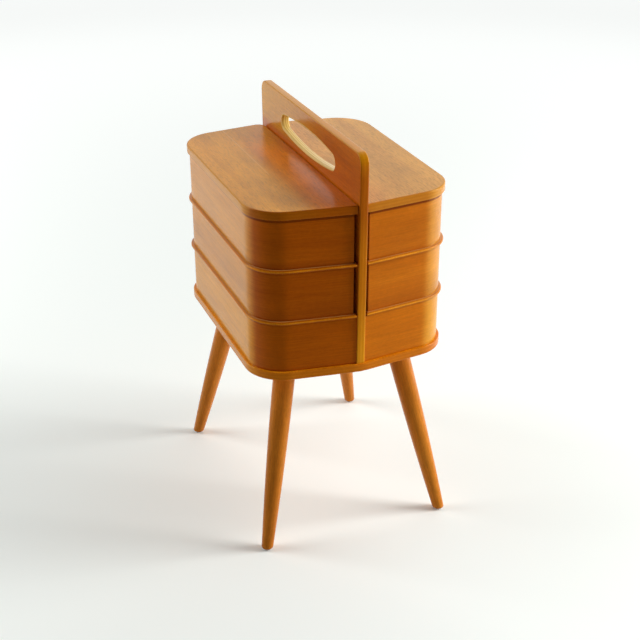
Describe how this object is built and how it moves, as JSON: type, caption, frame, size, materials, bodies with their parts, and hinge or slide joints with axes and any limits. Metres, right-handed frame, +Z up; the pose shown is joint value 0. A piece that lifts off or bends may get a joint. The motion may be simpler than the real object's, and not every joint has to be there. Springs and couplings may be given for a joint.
{
  "type": "sewing box",
  "caption": "Wooden sewing box on splayed legs, with a handle board and, on each side, a lid and trays that swing out.",
  "frame": {"origin": "on the floor, under the centre of the box", "axes": "+Z up, +Y along the handle board towards the pivot rods, +X across the board, to the right in the picture"},
  "size_m": [0.2934, 0.3874, 0.59],
  "materials": {
    "lid_plywood": "clear gloss varnish, grain along the handle board",
    "panel_plywood": "clear gloss varnish, grain along the board",
    "wall_plywood": "clear gloss varnish, grain round the case",
    "tray_board_plywood": "clear gloss varnish, rounded edge",
    "base_plywood": "clear gloss varnish, grain along the handle board",
    "leg_wood": "turned hardwood, clear gloss varnish",
    "inner_wood": "pale plywood, thin varnish",
    "steel": "zinc-plated steel",
    "brass": "turned brass",
    "washer_fibre": "brown fibre"
  },
  "bodies": {
    "stand": {"base_board": "base_plywood", "bottom_tray_block_left": "inner_wood", "bottom_tray_block_right": "inner_wood", "bottom_tray_wall_left": "wall_plywood", "bottom_tray_wall_right": "wall_plywood", "glide_back_left": "steel", "glide_back_right": "steel", "glide_front_left": "steel", "glide_front_right": "steel", "handle_panel": "panel_plywood", "leg_back_left": "leg_wood", "leg_back_right": "leg_wood", "leg_front_left": "leg_wood", "leg_front_right": "leg_wood", "level_washers_left": "washer_fibre", "level_washers_right": "washer_fibre", "panel_screws": "steel", "pivot_rod_left": "steel", "pivot_rod_right": "steel", "rod_nut_left": "steel", "rod_nut_right": "steel"},
    "middle_tray_left": {"middle_tray_block_left": "inner_wood", "middle_tray_bottom_left": "tray_board_plywood", "middle_tray_divider_left": "inner_wood", "middle_tray_inner_wall_left": "wall_plywood", "middle_tray_wall_left": "wall_plywood"},
    "top_tray_left": {"top_tray_back_divider_left": "inner_wood", "top_tray_block_left": "inner_wood", "top_tray_bottom_left": "tray_board_plywood", "top_tray_front_divider_left": "inner_wood", "top_tray_inner_wall_left": "wall_plywood", "top_tray_long_divider_left": "inner_wood", "top_tray_wall_left": "wall_plywood"},
    "lid_left": {"lid_bush_left": "brass", "lid_left": "lid_plywood"},
    "middle_tray_right": {"middle_tray_block_right": "inner_wood", "middle_tray_bottom_right": "tray_board_plywood", "middle_tray_divider_right": "inner_wood", "middle_tray_inner_wall_right": "wall_plywood", "middle_tray_wall_right": "wall_plywood"},
    "top_tray_right": {"top_tray_back_divider_right": "inner_wood", "top_tray_block_right": "inner_wood", "top_tray_bottom_right": "tray_board_plywood", "top_tray_front_divider_right": "inner_wood", "top_tray_inner_wall_right": "wall_plywood", "top_tray_long_divider_right": "inner_wood", "top_tray_wall_right": "wall_plywood"},
    "lid_right": {"lid_bush_right": "brass", "lid_right": "lid_plywood"}
  },
  "joints": [
    {"name": "middle_tray_left_swing", "type": "hinge", "parent": "stand", "child": "middle_tray_left", "pos_m": [-0.05, 0.17075, 0.3575], "axis": [0, 0, -1], "range_deg": [0, 130]},
    {"name": "top_tray_left_swing", "type": "hinge", "parent": "stand", "child": "top_tray_left", "pos_m": [-0.05, 0.17075, 0.433], "axis": [0, 0, -1], "range_deg": [0, 130]},
    {"name": "lid_left_swing", "type": "hinge", "parent": "stand", "child": "lid_left", "pos_m": [-0.05, 0.17075, 0.5085], "axis": [0, 0, -1], "range_deg": [0, 130]},
    {"name": "middle_tray_right_swing", "type": "hinge", "parent": "stand", "child": "middle_tray_right", "pos_m": [0.05, 0.17075, 0.3575], "axis": [0, 0, 1], "range_deg": [0, 130]},
    {"name": "top_tray_right_swing", "type": "hinge", "parent": "stand", "child": "top_tray_right", "pos_m": [0.05, 0.17075, 0.433], "axis": [0, 0, 1], "range_deg": [0, 130]},
    {"name": "lid_right_swing", "type": "hinge", "parent": "stand", "child": "lid_right", "pos_m": [0.05, 0.17075, 0.5085], "axis": [0, 0, 1], "range_deg": [0, 130]}
  ]
}
